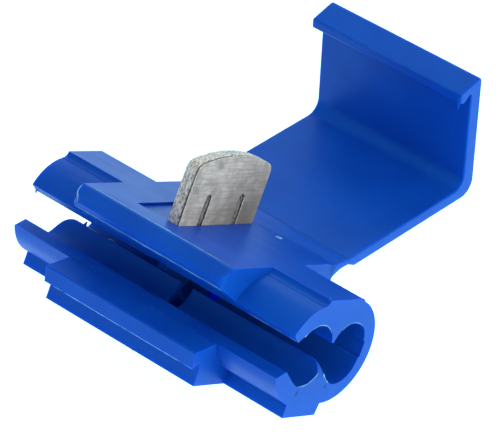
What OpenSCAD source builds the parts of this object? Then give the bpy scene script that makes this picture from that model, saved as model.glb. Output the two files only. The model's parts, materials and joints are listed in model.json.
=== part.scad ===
// Quick splice wire connector: one moulding with two side by side wire channels,
// a slotted blade standing in its top plate, and a latching cover on a living hinge.
// The sections below are drawn with the wires running along X, the hinge at +Y and
// the top plate facing +Z. The finished part is then laid back the way it rests,
// on its round back and on the outer bend of the open cover.

/* [Wire channels] */
// Radius of a wire channel
wire_r = 1.8; // [1.7:0.02:1.84]
// Distance between the two channel centres
channel_pitch = 3.75; // [3.72:0.01:3.9]
// Height of the lower channel centres above the foot
lower_centre_z = 4.02; // [3.9:0.02:4.1]
// Height of the upper channel centres above the foot
upper_centre_z = 4.96; // [4.86:0.02:5.1]
// Height of the lower rib's tip between the channels
lower_rib_z = 3.75; // [3.5:0.05:3.85]
// Height of the upper rib's tip between the channels
upper_rib_z = 5.38; // [5.2:0.05:5.5]
// Radius that rounds the lower rib off at each end of the housing
rib_end_r = 1.15; // [0.8:0.05:1.4]

/* [Housing] */
// Length of the housing along the wires
housing_len = 24; // [22:0.5:28]
// Radius of the round back
back_r = 3.8; // [3.75:0.01:3.9]
// Distance of the round back's centre behind the run channel
back_y = 2.85; // [2.75:0.05:2.95]
// Height of the round back's centre
back_z = 4.65; // [4.55:0.05:4.75]
// Radius of the upper jaw's outer face
jaw_r = 3.2; // [3.1:0.05:3.3]
// Radius of the lower lip's outer face
lip_r = 3.65; // [3.55:0.05:3.75]
// Wall left between the channels' slot and the round back
web_wall = 0.97; // [0.8:0.01:1.1]
// Height of the narrow slot at the inner end of the channels
web_slot_h = 1.2; // [1:0.05:1.3]
// Width of the ridge along the top
ridge_w = 3.65; // [3.3:0.05:4]
// Step between the ridge's top and the upper jaw
ridge_step = 0.45; // [0.3:0.05:0.6]
// Width of the foot along the bottom
foot_w = 3.65; // [3.2:0.05:4]
// Height of the foot
foot_h = 0.95; // [0.85:0.05:1]

/* [Middle block] */
// Width of the middle block along the wires
block_w = 13.6; // [12.5:0.1:15]
// Height of the top plate's upper face
plate_z = 8.5; // [8.4:0.05:8.7]
// Distance of the plate's rear edge behind the run channel
plate_back_y = 6.45; // [6.35:0.05:6.7]
// Distance of the nose's front in front of the run channel
nose_y = 5.2; // [5:0.05:5.3]
// Radius of the nose's top front edge
nose_r = 0.4; // [0.3:0.05:0.5]
// Radius of the nose's front corners in plan
nose_end_r = 0.7; // [0.4:0.05:1]
// Distance of the latch ledge's front in front of the run channel
ledge_y = 5.35; // [5.2:0.05:5.5]
// Height of the latch ledge's front band
ledge_h = 1.1; // [0.9:0.05:1.2]
// Height of the latch ledge's lower edge
ledge_z = 1.3; // [1.2:0.05:1.5]
// Distance of the front face under the ledge in front of the run channel
chin_y = 4.22; // [4.1:0.02:4.3]
// Depth of the shallow recess beside the blade
recess_d = 0.2; // [0.15:0.05:0.5]
// Length of the recess across the wires
recess_len = 4.4; // [3:0.1:5]
// Width of the recess along the wires
recess_w = 2.6; // [2:0.1:3.2]
// Thickness of the wire stop in the tap channel
stop_t = 0.8; // [0.6:0.1:1.2]
// Distance of the wire stop from the blade
stop_gap = 1.7; // [1.2:0.1:2.5]

/* [Blade] */
// Thickness of the blade
blade_t = 1.05; // [0.8:0.05:1.1]
// Width of the blade across the wires
blade_w = 8.3; // [8:0.05:8.4]
// How far the raised blade stands above the plate
blade_proud = 5.05; // [4.5:0.05:5.1]
// Depth of the raised blade's ends below the plate
blade_buried = 1.75; // [1.6:0.05:1.8]
// Radius of the blade's crowned top
crown_r = 12.3; // [10:0.1:20]
// Radius of the blade's top corners
blade_corner = 0.75; // [0.4:0.05:1]
// Width of each wire slot in the blade
slot_w = 0.55; // [0.4:0.05:0.8]
// Distance of the wire slots' closed ends below the crown
slot_top = 2.85; // [2.5:0.05:3.2]
// Height of the flared mouth of each wire slot
flare_h = 0.8; // [0.5:0.05:1]
// Slope cut from the blade's lower outer corners
leg_cut = 1.35; // [1.25:0.05:1.45]
// Place of the blade along the wires, from the middle
blade_x = -0.35; // [-0.8:0.05:0.8]
// Clearance between the blade and its slot
blade_gap = 0.05; // [0.03:0.01:0.08]

/* [Cover] */
// Thickness of the cover's floor
floor_t = 0.9; // [0.8:0.05:1.1]
// Thickness of the cover's latch wall
latch_wall_t = 1.1; // [0.9:0.05:1.3]
// Radius of the outer bend between floor and wall
bend_r = 1.2; // [1:0.05:1.3]
// Radius that rounds the outer edge of the latch wall's end
wall_end_r = 0.3; // [0.1:0.05:0.5]
// Radius of the fillet inside the bend
fillet_r = 1; // [0.9:0.05:1.2]
// Gap between the closed cover and the top plate
cover_gap = 0.1; // [0.06:0.02:0.2]
// Gap between the closed latch wall and the ledge
latch_gap = 0.25; // [0.2:0.01:0.3]
// Gap between the closed barb and the ledge's underside
barb_gap = 0.1; // [0.08:0.01:0.15]
// Height of the barb's blunt nose
barb_h = 0.7; // [0.5:0.05:0.9]
// Rise of the latch wall's sloping end from its outer corner to the barb's nose
lead_h = 0.6; // [0.4:0.05:0.8]
// Angle of the open cover above the top plate
open_deg = 25.2; // [20:0.2:30]

/* [Living hinge] */
// Distance of the hinge line behind the plate's rear edge
hinge_back = 1.15; // [1.1:0.05:1.3]
// Depth of the hinge line below the top plate
hinge_drop = 0.04; // [0:0.01:0.1]
// Thickness of the thin web where it meets the cover
web_t = 0.45; // [0.35:0.05:0.55]
// Distance from the hinge line to the cover's thick floor
heel_s = 1; // [0.95:0.05:1.1]
// Depth of the groove in front of the hinge
groove_d = 0.22; // [0.15:0.01:0.3]

/* [Hidden] */
$fn = 64;

// How far a cutting shape runs past the faces it cuts
over = 1;
moulding = [0.16, 0.37, 0.78];
metal = [0.66, 0.65, 0.62];

tap_y = channel_pitch;
slot_back_y = back_y + back_r - web_wall;
web_slot_rise = 0.2;
web_slot_z = (lower_centre_z + upper_centre_z) / 2 + web_slot_rise;

// Where the wire stop begins, just inside the tap channel's front
stop_inset = 0.18;
stop_front_y = tap_y - wire_r + stop_inset;

// Upper jaw and lower lip discs
jaw_y = 0.2;
jaw_z = 4.9;
lip_y = 0.1;
lip_z = 4.5;
lip_in = [-2.25, 3.45];
lip_out = [-3.14, 3.05];
tip_in = [-2.18, 5.58];
tip_out = [-2.79, 6.05];
mouth_y = -8;
mouth_root_h = 0.3;

ridge_front_y = -0.05;
valley_y = ridge_front_y - ridge_step;
ridge_z = plate_z;
foot_front_y = -0.85;
foot_flare = 0.15;

// Nose profile: a sloping front under its top round, a short upright face, then an undercut
nose_lean = 45;
nose_slope_z = 7.7;
nose_face_z = 7.4;
nose_front_run = (plate_z - nose_r + nose_r * cos(nose_lean) - nose_slope_z) / tan(nose_lean);
nose_top_y = -nose_y + nose_front_run + nose_r * sin(nose_lean);
nose_low_y = -4.65;
nose_low_z = 6.94;

// Groove, rear face and gusset that carry the hinge
groove_w = 0.8;
groove_floor = 0.1;
groove_y = plate_back_y + groove_w;
rear_y = groove_y + groove_floor;
rear_face_h = 1.2;
rear_low_z = plate_z - rear_face_h;
gusset_y = 6.6;
gusset_z = 5.5;

// Ledge profile: front band leans inwards to its lower edge, then an undercut
ledge_lean = 0.33;
ledge_edge = 0.1;
undercut_rise = 0.43;
undercut_in = 0.2;
ledge_tip = [-ledge_y + ledge_lean, ledge_z];
ledge_face = [-ledge_y, ledge_z + ledge_h];
undercut_top = [-chin_y - undercut_in, ledge_z + undercut_rise];
undercut_slope = undercut_rise / (undercut_top.x - ledge_tip.x);

// Blade in its raised place
blade_y = channel_pitch / 2;
crown_z = plate_z + blade_proud;
blade_low_z = plate_z - blade_buried;
press_travel = blade_proud;

// Centre of a top corner's round, tangent to the crown and to the blade's side
crown_centre_z = crown_z - crown_r;
corner_off = blade_w / 2 - blade_corner;
corner_rise = sqrt((crown_r - blade_corner) * (crown_r - blade_corner) - corner_off * corner_off);
corner_z = crown_centre_z + corner_rise;
corner_run = corner_off / corner_rise;

// Pocket under the blade, and the slots' flared mouths
pocket_spare = 0.15;
pocket_z = blade_low_z - press_travel - pocket_spare;
flare_w = 1.5;
recess_y = -0.2;

// Hinge line, and the closed cover around the middle block
hinge_y = plate_back_y + hinge_back;
hinge_z = plate_z - hinge_drop;
swing = 180 - open_deg;
floor_z = plate_z + cover_gap;
cover_top_z = floor_z + floor_t;
heel_y = hinge_y - heel_s;
heel_slope = 0.75;
wall_in_y = -ledge_y - latch_gap;
wall_out_y = wall_in_y - latch_wall_t;
bend_y = wall_out_y + bend_r;
bend_z = cover_top_z - bend_r;

// Barb under the closed ledge
chin_gap = 0.22;
barb_back = 0.42;
barb_chamfer = 0.2;
barb_front_y = -chin_y - chin_gap;
barb_tip_y = barb_front_y - barb_back;
barb_drop = barb_gap * sqrt(1 + undercut_slope * undercut_slope);
barb_tip_z = ledge_z + (barb_tip_y - ledge_tip.x) * undercut_slope - barb_drop;
barb_root_z = barb_tip_z + (wall_in_y - barb_tip_y) * undercut_slope;
barb_nose_z = barb_tip_z - barb_chamfer;
barb_low_z = barb_nose_z - barb_h;
wall_low_z = barb_low_z - lead_h;

// Round of the latch wall's outer corner, tangent to its face and to its sloping end
lead_slope = lead_h / (barb_front_y - wall_out_y);
lead_stretch = sqrt(1 + lead_slope * lead_slope);
end_centre_y = wall_out_y + wall_end_r;
end_centre_z = wall_low_z + wall_end_r * (lead_slope + lead_stretch);
end_tangent_y = end_centre_y + wall_end_r * lead_slope / lead_stretch;

// A point of the closed cover, swung open about the hinge line
function swung(p) = [
    hinge_y + (p.x - hinge_y) * cos(swing) + (p.y - hinge_z) * sin(swing),
    hinge_z - (p.x - hinge_y) * sin(swing) + (p.y - hinge_z) * cos(swing)
];

// Ends of the thin web on the open cover
web_top = swung([heel_y, floor_z]);
web_low = swung([heel_y, floor_z + web_t]);

// Curve of the web between the housing's rear face and those ends
groove_z = plate_z - groove_d;
web_lift = 0.1;
crest_near = 0.2;
crest_near_rise = 0.28;
crest_far = 0.6;
crest_far_rise = 0.38;
belly_near = 0.35;
belly_near_rise = 0.45;
belly_far = 0.75;
belly_far_rise = 0.78;
crest_in_y = rear_y + crest_near;
crest_in_z = groove_z + crest_near_rise;
crest_out_y = rear_y + crest_far;
crest_out_z = groove_z + crest_far_rise;
belly_in_y = rear_y + belly_near;
belly_in_z = rear_low_z + belly_near_rise;
belly_out_y = rear_y + belly_far;
belly_out_z = rear_low_z + belly_far_rise;

// Lying attitude: a floor that touches the round back and the open cover's bend
bend_open = swung([bend_y, bend_z]);
reach_y = bend_open.x - back_y;
reach_z = bend_open.y - back_z;
lean = atan2(reach_z, reach_y) + asin((back_r - bend_r) / sqrt(reach_y * reach_y + reach_z * reach_z));
floor_drop = back_z * cos(lean) - back_y * sin(lean) - back_r;

// Front and rear extremes of the lying part, to centre it on the origin
wall_end_open = swung([end_centre_y, end_centre_z]);
rear_extent = wall_end_open.x * cos(lean) + wall_end_open.y * sin(lean) + wall_end_r;
front_extent = -chin_y * cos(lean);
centre_y = (front_extent + rear_extent) / 2;

// Lays its children back from the drawn attitude to the lying one
module lying() {
    translate([0, -centre_y, -floor_drop])
        rotate([-lean, 0, 0])
            children();
}

// Carries a Y-Z section along the wires, from one X to another
module along_wires(from_x, to_x) {
    translate([from_x, 0, 0])
        rotate([90, 0, 90])
            linear_extrude(height = to_x - from_x)
                children();
}

// A disc of the section
module disc(y, z, r) {
    translate([y, z])
        circle(r = r);
}

// A rectangle of the section, from one corner to the other
module area(y0, z0, y1, z1) {
    translate([y0, z0])
        square([y1 - y0, z1 - z0]);
}

// Outer shape of the housing's C section
module housing_outline() {
    disc(back_y, back_z, back_r);
    intersection() {
        disc(jaw_y, jaw_z, jaw_r);
        area(mouth_y, jaw_z, back_y, ridge_z - ridge_step);
    }
    intersection() {
        disc(lip_y, lip_z, lip_r);
        area(mouth_y, 0, back_y, lip_z);
    }
    area(ridge_front_y, back_z, ridge_front_y + ridge_w, ridge_z);
    difference() {
        area(valley_y, jaw_z, ridge_front_y + ridge_step, ridge_z);
        disc(valley_y, ridge_z, ridge_step);
    }
    polygon([
        [foot_front_y, 0],
        [foot_front_y + foot_w, 0],
        [foot_front_y + foot_w + foot_flare, foot_h],
        [foot_front_y + foot_w, back_z],
        [foot_front_y, back_z]
    ]);
}

// Top plate with its round nose, and the root of the hinge behind it
module plate_outline() {
    disc(nose_top_y, plate_z - nose_r, nose_r);
    polygon([
        [nose_top_y, plate_z],
        [plate_back_y, plate_z],
        [groove_y, groove_z],
        [rear_y, groove_z],
        [rear_y, rear_low_z],
        [gusset_y, gusset_z],
        [back_y, gusset_z],
        tip_out,
        [nose_low_y, nose_low_z],
        [-nose_y, nose_face_z],
        [-nose_y, nose_slope_z],
        [nose_top_y - nose_r * sin(nose_lean), plate_z - nose_r + nose_r * cos(nose_lean)]
    ]);
}

// Lower block with its ramp and the ledge that the cover latches under
module ledge_outline() {
    polygon([
        [foot_front_y + foot_w, 0],
        [-chin_y, 0],
        [-chin_y, ledge_z],
        undercut_top,
        ledge_tip,
        ledge_face,
        ledge_face + [ledge_edge, ledge_edge],
        lip_out,
        lip_in,
        [0, lip_in.y],
        [back_y, foot_h]
    ]);
}

// One wire channel: lower and upper half rounds
module channel_rounds(y) {
    disc(y, lower_centre_z, wire_r);
    disc(y, upper_centre_z, wire_r);
}

// Mouth between the jaws, which narrows towards the run channel
module mouth() {
    low = lead_in_point(lip_in, lower_centre_z, -1);
    high = lead_in_point(tip_in, upper_centre_z, 1);
    polygon([
        [0, lower_rib_z],
        [0, lower_centre_z - mouth_root_h],
        low,
        lip_in,
        lip_out,
        [mouth_y, lip_out.y],
        [mouth_y, tip_out.y],
        tip_out,
        tip_in,
        high,
        [0, upper_centre_z + mouth_root_h],
        [0, upper_rib_z]
    ]);
}

// Where a line from a jaw's tip touches the channel's round, on its lower or upper side
function lead_in_point(tip, centre_z, side) =
    let (
        dy = -tip.x,
        dz = centre_z - tip.y,
        reach = sqrt(dy * dy + dz * dz),
        run = sqrt(reach * reach - wire_r * wire_r),
        turn = atan2(dz, dy) + side * asin(wire_r / reach)
    )
    [tip.x + run * cos(turn), tip.y + run * sin(turn)];

// Everything that the wires' space takes out of the section
module wire_space() {
    channel_rounds(0);
    channel_rounds(tap_y);
    mouth();
    area(0, lower_rib_z, tap_y, upper_rib_z);
    area(tap_y, web_slot_z - web_slot_h / 2, slot_back_y, web_slot_z + web_slot_h / 2);
}

// Slot and pocket that the blade slides in, down to its pressed place
module blade_pocket() {
    half = blade_w / 2 + blade_gap;
    polygon([
        [blade_y - half, plate_z + over],
        [blade_y - half, pocket_z + leg_cut],
        [blade_y - half + leg_cut, pocket_z],
        [blade_y + half - leg_cut, pocket_z],
        [blade_y + half, pocket_z + leg_cut],
        [blade_y + half, plate_z + over]
    ]);
}

// One moulding: C section, top plate, latch ledge and foot, cut for wires and blade
module housing() {
    end_x = housing_len / 2;
    block_x = block_w / 2;
    blade_face = blade_t / 2 + blade_gap;
    stop_x = blade_x - blade_t / 2 - stop_gap;
    color(moulding)
        lying() {
            difference() {
                union() {
                    along_wires(-end_x, end_x) housing_outline();
                    along_wires(-block_x, block_x) {
                        plate_outline();
                        ledge_outline();
                    }
                }
                along_wires(-end_x - over, end_x + over) wire_space();
                along_wires(blade_x - blade_face, blade_x + blade_face) blade_pocket();
                for (side = [0, 1])
                    mirror([side, 0, 0])
                        rib_end_cut();
                for (side = [0, 1])
                    mirror([side, 0, 0])
                        nose_end_cut();
                along_wires(blade_x - blade_face - recess_w, blade_x - blade_face)
                    recess_outline();
            }
            along_wires(stop_x - stop_t, stop_x) wire_stop();
        }
}

// Shallow recess in the plate beside the blade
module recess_outline() {
    area(recess_y - recess_len / 2, plate_z - recess_d, recess_y + recess_len / 2, plate_z + over);
}

// What rounds the lower rib off at one end, between the two channels
module rib_end_cut() {
    translate([housing_len / 2 - rib_end_r, tap_y, lower_rib_z - rib_end_r])
        rotate([90, 0, 0])
            linear_extrude(height = tap_y)
                difference() {
                    square([rib_end_r + over, rib_end_r + over]);
                    circle(r = rib_end_r);
                }
}

// What rounds one front corner of the nose in plan
module nose_end_cut() {
    translate([block_w / 2 - nose_end_r, nose_end_r - nose_y, nose_low_z - over / 2])
        linear_extrude(height = plate_z + over - nose_low_z)
            difference() {
                translate([0, -nose_end_r - over])
                    square([nose_end_r + over, nose_end_r + over]);
                circle(r = nose_end_r);
            }
}

// Thin wall that ends the tap channel behind the blade
module wire_stop() {
    intersection() {
        union() {
            channel_rounds(tap_y);
            area(tap_y, web_slot_z - web_slot_h / 2, slot_back_y, web_slot_z + web_slot_h / 2);
        }
        area(stop_front_y, 0, slot_back_y, plate_z);
    }
}

// Thin web between the housing's rear face and the open cover
module living_hinge() {
    block_x = block_w / 2;
    color(moulding)
        lying()
            along_wires(-block_x, block_x)
                polygon([
                    [rear_y, groove_z],
                    [crest_in_y, crest_in_z],
                    [crest_out_y, crest_out_z],
                    web_top,
                    web_low,
                    [belly_out_y, belly_out_z],
                    [belly_in_y, belly_in_z],
                    [rear_y, rear_low_z + web_lift]
                ]);
}

// Section of the cover, closed: floor, bend, latch wall and barb
module cover_outline() {
    sunk = latch_wall_t / 2;
    difference() {
        polygon([
            [heel_y, floor_z],
            [heel_y, floor_z + web_t],
            [heel_y - heel_slope, cover_top_z],
            [wall_out_y, cover_top_z],
            [wall_out_y, wall_low_z],
            [barb_front_y, barb_low_z],
            [barb_front_y, barb_nose_z],
            [barb_tip_y, barb_tip_z],
            [wall_in_y, barb_root_z],
            [wall_in_y, floor_z]
        ]);
        difference() {
            area(wall_out_y - over, bend_z, bend_y, cover_top_z + over);
            disc(bend_y, bend_z, bend_r);
        }
        difference() {
            area(wall_out_y - over, wall_low_z - over, end_tangent_y, end_centre_z);
            disc(end_centre_y, end_centre_z, wall_end_r);
        }
    }
    difference() {
        area(wall_in_y - sunk, floor_z - fillet_r, wall_in_y + fillet_r, floor_z + sunk);
        disc(wall_in_y + fillet_r, floor_z - fillet_r, fillet_r);
    }
}

// Cover, drawn closed and swung open about the hinge line
module cover() {
    block_x = block_w / 2;
    color(moulding)
        lying()
            translate([0, hinge_y, hinge_z])
                rotate([-swing, 0, 0])
                    translate([0, -hinge_y, -hinge_z])
                        along_wires(-block_x, block_x)
                            cover_outline();
}

// Section of the blade in its raised place: crowned top, two wire slots, sloped legs
module blade_outline() {
    half = blade_w / 2;
    difference() {
        intersection() {
            polygon([
                [blade_y - half, crown_z],
                [blade_y - half, blade_low_z + leg_cut],
                [blade_y - half + leg_cut, blade_low_z],
                [blade_y + half - leg_cut, blade_low_z],
                [blade_y + half, blade_low_z + leg_cut],
                [blade_y + half, crown_z]
            ]);
            disc(blade_y, crown_centre_z, crown_r);
        }
        for (side = [0, 1])
            translate([blade_y, 0])
                mirror([side, 0])
                    blade_corner_cut();
        for (y = [0, tap_y])
            wire_slot(y);
    }
}

// What rounds one top corner of the blade, beside its middle line
module blade_corner_cut() {
    top_z = crown_z + over;
    difference() {
        polygon([
            [corner_off, corner_z],
            [blade_w / 2 + over, corner_z],
            [blade_w / 2 + over, top_z],
            [corner_off + (top_z - corner_z) * corner_run, top_z]
        ]);
        disc(corner_off, corner_z, blade_corner);
    }
}

// One wire slot of the blade: straight sides, round closed end and flared mouth
module wire_slot(y) {
    closed_z = crown_z - slot_top;
    area(y - slot_w / 2, blade_low_z - over, y + slot_w / 2, closed_z - slot_w / 2);
    disc(y, closed_z - slot_w / 2, slot_w / 2);
    polygon([
        [y - flare_w / 2, blade_low_z],
        [y - slot_w / 2, blade_low_z + flare_h],
        [y + slot_w / 2, blade_low_z + flare_h],
        [y + flare_w / 2, blade_low_z]
    ]);
}

// Slotted blade that pierces the wires' insulation when it is pressed down
module blade() {
    color(metal)
        lying()
            along_wires(blade_x - blade_t / 2, blade_x + blade_t / 2)
                blade_outline();
}

housing();
living_hinge();
cover();
blade();
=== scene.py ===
"""Looks of the quick splice wire connector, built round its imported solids.

Shapes are worked out in the connector's own upright attitude, in millimetres: X runs along
the wires, Y towards the hinge, Z up through the top plate. Attitude.place turns such points
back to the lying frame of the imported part, in metres.
"""

import json
import logging
import math
from dataclasses import dataclass, field
from enum import Enum

import bmesh
import bpy
import numpy as np
from mathutils import Matrix, Vector
from mathutils.geometry import delaunay_2d_cdt


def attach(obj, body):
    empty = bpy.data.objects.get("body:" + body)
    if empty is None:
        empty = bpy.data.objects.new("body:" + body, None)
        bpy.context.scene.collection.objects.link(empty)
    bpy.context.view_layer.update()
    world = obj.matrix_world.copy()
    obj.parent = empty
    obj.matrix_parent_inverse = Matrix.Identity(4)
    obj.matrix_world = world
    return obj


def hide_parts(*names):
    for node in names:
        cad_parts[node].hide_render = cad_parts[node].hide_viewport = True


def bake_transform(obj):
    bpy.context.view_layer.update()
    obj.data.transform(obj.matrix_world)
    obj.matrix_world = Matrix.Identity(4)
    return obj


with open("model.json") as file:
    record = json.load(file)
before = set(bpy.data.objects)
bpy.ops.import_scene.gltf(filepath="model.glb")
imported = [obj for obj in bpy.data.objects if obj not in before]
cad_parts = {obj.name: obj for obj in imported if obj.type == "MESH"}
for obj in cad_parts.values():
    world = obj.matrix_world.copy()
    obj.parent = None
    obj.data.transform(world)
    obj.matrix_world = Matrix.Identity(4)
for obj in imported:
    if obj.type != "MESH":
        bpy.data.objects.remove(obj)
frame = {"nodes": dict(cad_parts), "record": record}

log = logging.getLogger("connector")

Node = bpy.types.Node
Material = bpy.types.Material
Object = bpy.types.Object
Pair = tuple[float, float]
Triple = tuple[float, float, float]
Quad = tuple[float, float, float, float]
Faces = list[tuple[int, ...]]

MM = 0.001

# Points nearer than this, in metres, are one point
MERGE_M = 2e-6

# Cells along each side of a noise lattice before it repeats
LATTICE_CELLS = 64

# Points round a run of flash
TUBE_SIDES = 8

# The channels' axes: the tap's Y beside the run's at 0, and the heights of the bores' round
# upper and lower halves
TAP_Y = 3.75
UPPER_BORE_Z = 4.96
LOWER_BORE_Z = 4.02


class Body(Enum):
    """The moving bodies that pieces ride on."""

    HOUSING = "housing"
    COVER = "cover"
    BLADE = "blade"


class Slot(Enum):
    """The record's material slots."""

    MOULDING = "moulding"
    METAL = "blade_metal"


@dataclass(frozen=True)
class Attitude:
    """How the upright connector is laid back on its round back.

    The lean comes from the blade's press direction, the shift from the hinge line's place.
    Lengths are in millimetres.
    """

    hinge_y: float = 7.6
    hinge_z: float = 8.46
    swing_deg: float = 154.8

    def joint(self, name: str) -> dict:
        """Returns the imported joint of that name."""
        joints = frame["record"]["behaviour"]["joints"]
        return next(joint for joint in joints if joint["name"] == name)

    def lean(self) -> float:
        """Returns the angle in radians by which the connector leans back about X."""
        _, down_y, down_z = self.joint("blade_press")["axis"]
        return math.atan2(-down_y, -down_z)

    @staticmethod
    def turned(angle: float) -> np.ndarray:
        """Returns the 3 by 3 rotation about X that takes +Z towards +Y by an angle in radians."""
        c, s = math.cos(angle), math.sin(angle)
        return np.array([[1, 0, 0], [0, c, s], [0, -s, c]])

    def rotation(self) -> np.ndarray:
        """Returns the 3 by 3 rotation from the upright to the lying attitude."""
        return self.turned(self.lean())

    def hinge_line(self) -> np.ndarray:
        """Returns the middle of the hinge line, upright, in millimetres."""
        return np.array([0, self.hinge_y, self.hinge_z])

    def place(self, points: np.ndarray) -> np.ndarray:
        """Lays upright points down.

        Args:
            points: N by 3 upright points in millimetres.

        Returns:
            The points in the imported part's frame, in metres.
        """
        return (np.asarray(points, float) @ self.rotation().T + self.shift()) * MM

    def shift(self) -> np.ndarray:
        """Returns the lying frame's shift in millimetres, applied after the rotation."""
        lying = np.array(self.joint("cover_swing")["pos_m"]) / MM
        return lying - self.rotation() @ self.hinge_line()

    def lift(self, points: np.ndarray) -> np.ndarray:
        """Stands lying points in metres upright again, in millimetres."""
        return (np.asarray(points, float) / MM - self.shift()) @ self.rotation()

    def opened(self, points: np.ndarray) -> np.ndarray:
        """Swings points given on the closed, upright cover to the open cover.

        Args:
            points: N by 3 upright points of the closed cover in millimetres.

        Returns:
            The points turned about the hinge line by the swing, still upright.
        """
        line, turn = self.hinge_line(), self.turned(math.radians(self.swing_deg))
        return (np.asarray(points, float) - line) @ turn.T + line


@dataclass(frozen=True)
class Grain:
    """One scale of noise on a surface, and the relief that it makes there.

    The scale counts noise cells per metre, height_mm is the relief's full height, and the
    strength is the share of it that shows. In the finishes a grain's span is the pair of noise
    values between which the colours run, and its stretch multiplies the scale along each axis.
    """

    scale: float
    detail: float
    rough: float = 0.5
    height_mm: float = 0.0
    strength: float = 0.0


class Nodes:
    """Short calls that build a node material."""

    def __init__(self, name: str) -> None:
        """Starts an empty material with an output and a principled shader."""
        self.material = bpy.data.materials.new(name)
        self.material.use_nodes = True
        self.tree = self.material.node_tree
        self.tree.nodes.clear()
        self.out = self.add("ShaderNodeOutputMaterial")
        self.shader = self.add("ShaderNodeBsdfPrincipled")
        self.link(self.shader, "BSDF", self.out, "Surface")
        self.coords = self.add("ShaderNodeTexCoord")

    def add(self, kind: str, **values: object) -> Node:
        """Adds a node and sets its attributes or, where it has none of that name, its inputs."""
        node = self.tree.nodes.new(kind)
        for key, value in values.items():
            if hasattr(node, key):
                setattr(node, key, value)
            else:
                node.inputs[key.replace("_", " ")].default_value = value
        return node

    def put(self, name: str, value: object) -> None:
        """Sets an input of the principled shader."""
        self.shader.inputs[name].default_value = value

    def link(self, a: Node, out: str, b: Node, into: str) -> None:
        """Joins output out of node a to input into of node b."""
        self.tree.links.new(a.outputs[out], b.inputs[into])

    def mapped(self, scale: Triple, turn: float = 0.0) -> Node:
        """Object coordinates, turned about X by turn and then scaled.

        Args:
            scale: Pattern repeats per metre along each axis.
            turn: Angle about X in radians.

        Returns:
            The Mapping node.
        """
        turned = self.add("ShaderNodeMapping", Rotation=(turn, 0, 0))
        self.link(self.coords, "Object", turned, "Vector")
        scaled = self.add("ShaderNodeMapping", Scale=scale)
        self.link(turned, "Vector", scaled, "Vector")
        return scaled

    def noise(self, vector: Node, grain: Grain) -> Node:
        """Adds a noise texture that reads the given vector node."""
        node = self.add("ShaderNodeTexNoise", Scale=grain.scale, Detail=grain.detail,
                        Roughness=grain.rough)
        self.link(vector, "Vector", node, "Vector")
        return node

    def ramp(self, noise: Node, span: Pair, colours: tuple[Triple, Triple]) -> Node:
        """Adds a colour ramp that runs between two colours over a span of the noise."""
        node = self.add("ShaderNodeValToRGB")
        for element, place, colour in zip(node.color_ramp.elements, span, colours):
            element.position = place
            element.color = (*colour, 1.0)
        self.link(noise, "Fac", node, "Fac")
        return node

    def spread(self, noise: Node, low: float, high: float) -> Node:
        """Adds a Map Range node that carries the noise's 0..1 to low..high."""
        node = self.add("ShaderNodeMapRange", To_Min=low, To_Max=high)
        self.link(noise, "Fac", node, "Value")
        return node

    def bump(self, source: Node, out: str, height: float, strength: float,
             under: Node | None = None) -> Node:
        """Adds a bump from one output.

        Args:
            source: Node with the height.
            out: Name of its output.
            height: Height in metres at an output of one.
            strength: Share of the bump that shows.
            under: A bump that this one lies on, if any.

        Returns:
            The Bump node.
        """
        node = self.add("ShaderNodeBump", Strength=strength, Distance=height)
        self.link(source, out, node, "Height")
        if under is not None:
            self.link(under, "Normal", node, "Normal")
        return node

    def relief(self, noise: Node, grain: Grain, under: Node | None = None) -> Node:
        """Adds the bump that a grain's noise makes, on top of another bump if given."""
        return self.bump(noise, "Fac", grain.height_mm * MM, grain.strength, under)

    def ring(self, centre: Vector, radius: float, width: float) -> Node:
        """Adds a mask that is one on a circle of the surface and falls off beside it.

        Args:
            centre: Centre in the object's own frame, in metres.
            radius: Radius of the circle in metres; zero makes a spot.
            width: Distance from the circle at which the mask reaches zero, in metres.

        Returns:
            The node, whose output Result is the mask.
        """
        away = self.add("ShaderNodeVectorMath", operation="DISTANCE")
        self.link(self.coords, "Object", away, "Vector")
        away.inputs[1].default_value = centre
        offset = self.add("ShaderNodeMath", operation="SUBTRACT")
        self.tree.links.new(away.outputs["Value"], offset.inputs[0])
        offset.inputs[1].default_value = radius
        size = self.add("ShaderNodeMath", operation="ABSOLUTE")
        self.link(offset, "Value", size, "Value")
        mask = self.add("ShaderNodeMapRange", interpolation_type="SMOOTHSTEP", From_Max=width,
                        To_Min=1.0, To_Max=0.0)
        self.link(size, "Value", mask, "Value")
        return mask

    def faded(self, source: Node, mask: Node, out: str, colour: Triple, amount: float) -> Node:
        """Mixes a colour over a colour output where the mask is high.

        Args:
            source: Node with an output named Color.
            mask: Node with the mask.
            out: Name of the mask's output.
            colour: The colour to fade to.
            amount: Share of it at a full mask.

        Returns:
            The mixing node, whose output is named Color.
        """
        share = self.add("ShaderNodeMath", operation="MULTIPLY")
        self.tree.links.new(mask.outputs[out], share.inputs[0])
        share.inputs[1].default_value = amount
        mixed = self.add("ShaderNodeMixRGB", Color2=(*colour, 1.0))
        self.link(share, "Value", mixed, "Fac")
        self.link(source, "Color", mixed, "Color1")
        return mixed

    def done(self, bump: Node | None = None) -> Material:
        """Joins the bump to the shader and returns the material."""
        if bump is not None:
            self.link(bump, "Normal", self.shader, "Normal")
        return self.material


@dataclass(frozen=True)
class Mark:
    """A small witness dented into a moulded face, darkened with painted shade: a faint ring, or a
    nick where the radius is zero.

    Lengths are in millimetres; dark is the share of the painted shade's colour at the mark's middle.
    """

    place: Triple
    radius: float
    width: float
    depth: float
    dark: float
    on_cover: bool = False


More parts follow.
